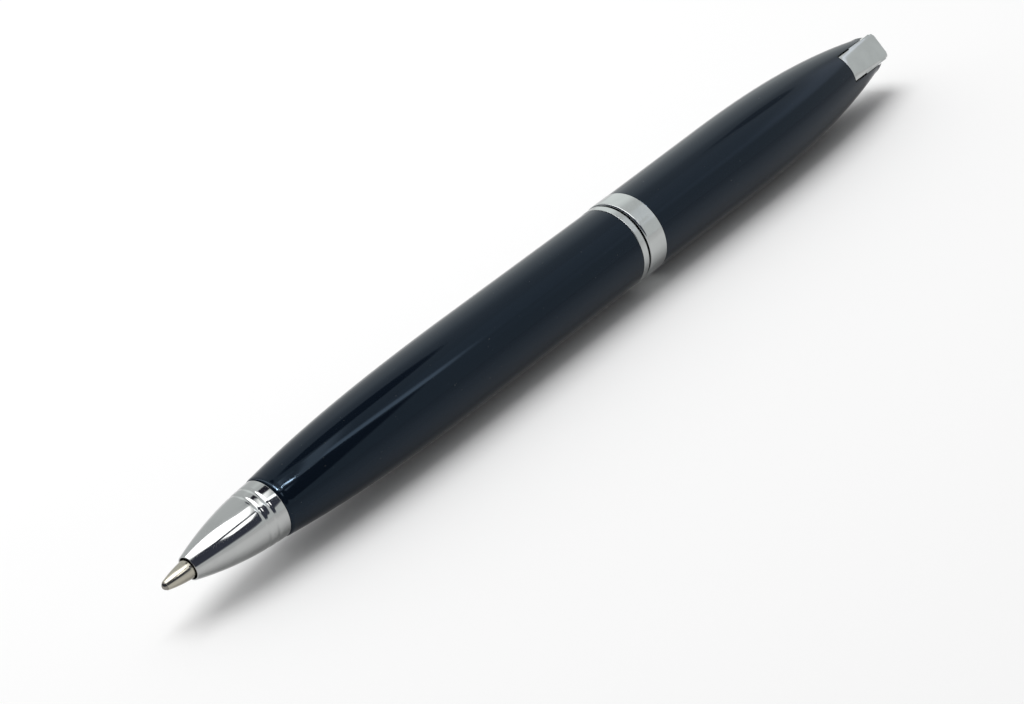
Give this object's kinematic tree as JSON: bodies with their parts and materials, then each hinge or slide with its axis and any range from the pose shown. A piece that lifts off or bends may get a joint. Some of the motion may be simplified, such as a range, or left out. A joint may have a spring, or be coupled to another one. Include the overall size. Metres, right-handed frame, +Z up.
{
  "type": "twist ballpoint pen",
  "caption": "Twist-action metal ballpoint pen with lacquered barrels, bright nose, band and sprung pocket clip, lying on its belly and clip.",
  "frame": {"origin": "middle of the footprint of the lying pen, on the surface that it lies on", "axes": "+X along the pen from the writing ball to the clip end, +Z up, away from the surface, with the press plate facing up and to -Y and the clip down and to +Y"},
  "size_m": [0.137, 0.0128, 0.0114],
  "materials": {
    "lacquer": "near-black navy gloss lacquer",
    "chrome": "polished chrome plate",
    "nickel_silver": "turned warm nickel silver",
    "brass": "turned brass",
    "steel": "satin steel",
    "ball_steel": "ground hard metal ball",
    "rubber": "black rubber",
    "plastic": "pale moulded plastic"
  },
  "bodies": {
    "lower_half": {"nose_cone": "chrome", "lower_barrel": "lacquer", "lower_trim_ring": "chrome", "threaded_insert": "brass", "guide_sleeve": "steel", "friction_ring": "rubber", "return_spring": "steel"},
    "upper_half": {"centre_band": "chrome", "upper_barrel": "lacquer", "cam_sleeve": "brass", "mechanism_plug": "plastic", "clip_seat": "brass", "clip_pin": "steel", "clip_spring": "steel"},
    "clip": {"clip": "chrome"},
    "refill": {"writing_tip": "nickel_silver", "tip_holder": "brass", "refill_tube": "steel", "refill_plug": "plastic", "refill_carrier": "plastic"},
    "ball": {"ball": "ball_steel"}
  },
  "joints": [
    {"name": "twist", "type": "hinge", "parent": "lower_half", "child": "upper_half", "pos_m": [0.01, -0.00068, 0.00571], "axis": [1, 0, 0], "range_deg": [0, 180]},
    {"name": "refill_slide", "type": "slide", "parent": "lower_half", "child": "refill", "axis": [1, 0, 0], "range_m": [0, 0.006], "deforming": ["return_spring"]},
    {"name": "clip_rock", "type": "hinge", "parent": "upper_half", "child": "clip", "pos_m": [0.06418, -0.00143, 0.00622], "axis": [0, -0.5664, -0.8241], "range_deg": [0, 5], "stiffness_Nm_per_rad": 0.2, "springref_deg": -17.19, "deforming": ["clip_spring"]},
    {"name": "ball_roll", "type": "hinge", "parent": "refill", "child": "ball", "pos_m": [-0.06796, -0.00068, 0.00571], "axis": [0, 0.5664, 0.8241], "continuous": true}
  ],
  "couplings": [
    {"joint": "twist", "follows": "refill_slide", "rad_per_m": 523.6}
  ]
}
